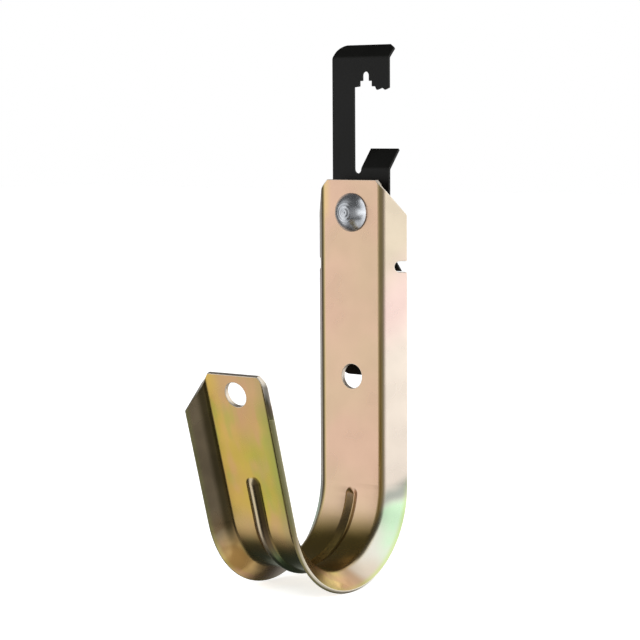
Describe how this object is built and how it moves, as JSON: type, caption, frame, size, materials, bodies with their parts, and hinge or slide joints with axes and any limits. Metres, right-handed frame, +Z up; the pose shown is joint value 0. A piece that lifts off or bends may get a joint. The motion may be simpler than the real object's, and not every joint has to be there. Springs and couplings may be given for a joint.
{
  "type": "j hook cable support",
  "caption": "Sheet-steel J hook that carries a bundle of data cables, with a riveted black spring clip whose stepped jaw grips a ceiling drop wire.",
  "frame": {"origin": "middle of the hook's round loop, on the plane of symmetry of the hook, where the axis of the cable bundle lies", "axes": "+X along the cables, -Y towards the open front and the short arm, +Z up along the long strap"},
  "size_m": [0.0318, 0.0664, 0.1545],
  "materials": {
    "hook_zinc": "yellow zinc plated, satin",
    "clip_black": "black phosphate, satin",
    "rivet_steel": "bright zinc, formed head"
  },
  "bodies": {
    "root": {"hook_body": "hook_zinc", "drop_wire_clip": "clip_black", "rivet": "rivet_steel"}
  },
  "joints": []
}
